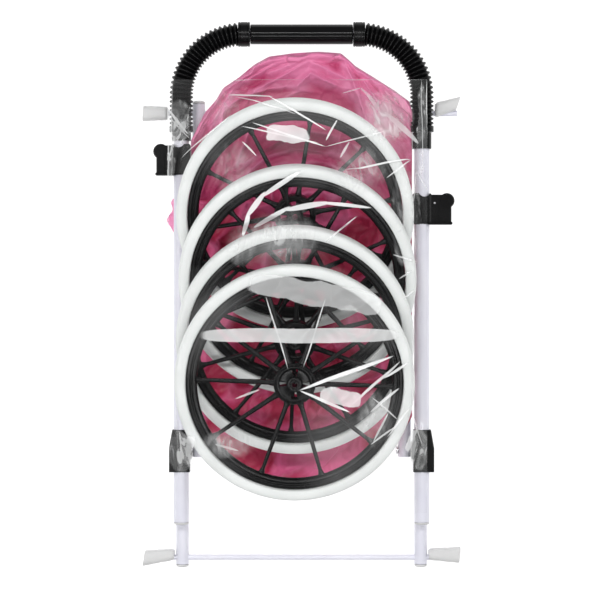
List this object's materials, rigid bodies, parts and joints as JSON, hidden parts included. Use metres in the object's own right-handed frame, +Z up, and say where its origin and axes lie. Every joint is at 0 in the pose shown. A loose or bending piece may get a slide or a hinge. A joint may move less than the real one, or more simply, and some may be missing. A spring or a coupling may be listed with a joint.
{
  "type": "folding pet stroller",
  "caption": "Small tube-frame pet stroller folded flat on its back, with a cloth body and hood, a hose-covered handle and its wheels stacked in a clear film bag.",
  "frame": {"origin": "middle of the folded stroller's footprint, on the ground it lies on", "axes": "+X to the right across the frame, +Y from the front axle to the handle, +Z up, away from the ground it lies on"},
  "size_m": [0.4, 0.6841, 0.1885],
  "materials": {
    "white_paint": "satin white powder coat",
    "white_sleeve": "soft white polyethylene",
    "steel": "zinc-plated",
    "black_plastic": "semi-gloss black moulding",
    "gloss_black": "polished black",
    "board": "stiff fibre board",
    "nylon": "thin pink nylon",
    "film": "clear creased polyethylene film",
    "foam": "white foam tyre"
  },
  "bodies": {
    "front_axle": {"front_axle": "white_paint", "front_axle_sleeve_left": "white_sleeve", "front_axle_sleeve_right": "white_sleeve"},
    "front_legs": {"front_leg_left": "white_paint", "front_leg_foot_left": "white_sleeve", "front_leg_tip_left": "white_sleeve", "cross_pin_left": "steel", "front_leg_right": "white_paint", "front_leg_foot_right": "white_sleeve", "front_leg_tip_right": "white_sleeve", "cross_pin_right": "steel"},
    "rear_legs": {"rear_axle": "white_paint", "rear_leg_left": "white_paint", "rear_leg_foot_left": "white_sleeve", "rear_axle_sleeve_left": "white_sleeve", "rear_leg_right": "white_paint", "rear_leg_foot_right": "white_sleeve", "rear_axle_sleeve_right": "white_sleeve"},
    "frame": {"base_board": "board", "fabric_body": "nylon", "fabric_hood": "nylon", "hood_bow_front": "steel", "hood_bow_rear": "steel", "rail_left": "white_paint", "rail_cap_left": "white_sleeve", "lower_bracket_left": "black_plastic", "hinge_pin_left": "steel", "rail_right": "white_paint", "rail_cap_right": "white_sleeve", "lower_bracket_right": "black_plastic", "hinge_pin_right": "steel"},
    "handle": {"handle_tube": "white_paint", "grip": "gloss_black", "grip_collar_left": "black_plastic", "hose_left": "black_plastic", "cuff_left": "black_plastic", "grip_collar_right": "black_plastic", "hose_right": "black_plastic", "cuff_right": "black_plastic"},
    "left_collar": {"sliding_collar_left": "black_plastic", "collar_screw_left": "steel", "collar_cap_left": "black_plastic"},
    "right_collar": {"sliding_collar_right": "black_plastic", "collar_screw_right": "steel", "collar_cap_right": "black_plastic"},
    "wheel_bag": {"film_bag": "film"},
    "wheel_1": {"tyre_1": "foam", "rim_1": "black_plastic", "wheel_bush_1": "black_plastic"},
    "wheel_2": {"tyre_2": "foam", "rim_2": "black_plastic", "wheel_bush_2": "black_plastic"},
    "wheel_3": {"tyre_3": "foam", "rim_3": "black_plastic", "wheel_bush_3": "black_plastic"},
    "wheel_4": {"tyre_4": "foam", "rim_4": "black_plastic", "wheel_bush_4": "black_plastic"}
  },
  "joints": [
    {"name": "front_leg_fold", "type": "hinge", "parent": "front_axle", "child": "front_legs", "pos_m": [0, -0.33, 0.011], "axis": [1, 0, 0], "range_deg": [0, 46.8]},
    {"name": "rear_leg_fold", "type": "hinge", "parent": "front_legs", "child": "rear_legs", "pos_m": [0, -0.11, 0.011], "axis": [-1, 0, 0], "range_deg": [0, 75.1]},
    {"name": "rail_fold", "type": "hinge", "parent": "rear_legs", "child": "frame", "pos_m": [0, -0.195, 0.011], "axis": [1, 0, 0], "range_deg": [0, 55.1]},
    {"name": "handle_slide", "type": "slide", "parent": "frame", "child": "handle", "axis": [0, 1, 0], "range_m": [0, 0.08]},
    {"name": "left_collar_slide", "type": "slide", "parent": "frame", "child": "left_collar", "axis": [0, 1, 0], "range_m": [-0.3, 0.002]},
    {"name": "right_collar_slide", "type": "slide", "parent": "frame", "child": "right_collar", "axis": [0, 1, 0], "range_m": [-0.24, 0.05]},
    {"name": "wheel_bag_lift", "type": "slide", "parent": "frame", "child": "wheel_bag", "axis": [0, 0, 1], "range_m": [0, 0.12]},
    {"name": "wheel_1_spin", "type": "hinge", "parent": "wheel_bag", "child": "wheel_1", "pos_m": [-0.008, 0.098, 0.1075], "axis": [0, -0.2924, 0.9563], "continuous": true},
    {"name": "wheel_2_spin", "type": "hinge", "parent": "wheel_bag", "child": "wheel_2", "pos_m": [-0.005, 0.018, 0.1105], "axis": [0, -0.2924, 0.9563], "continuous": true},
    {"name": "wheel_3_spin", "type": "hinge", "parent": "wheel_bag", "child": "wheel_3", "pos_m": [-0.008, -0.0555, 0.1155], "axis": [0, -0.2924, 0.9563], "continuous": true},
    {"name": "wheel_4_spin", "type": "hinge", "parent": "wheel_bag", "child": "wheel_4", "pos_m": [-0.0085, -0.106, 0.1435], "axis": [0, -0.1736, 0.9848], "continuous": true}
  ],
  "couplings": [
    {"joint": "rear_leg_fold", "follows": "front_leg_fold", "ratio": 1.603},
    {"joint": "rail_fold", "follows": "front_leg_fold", "ratio": 1.177}
  ]
}
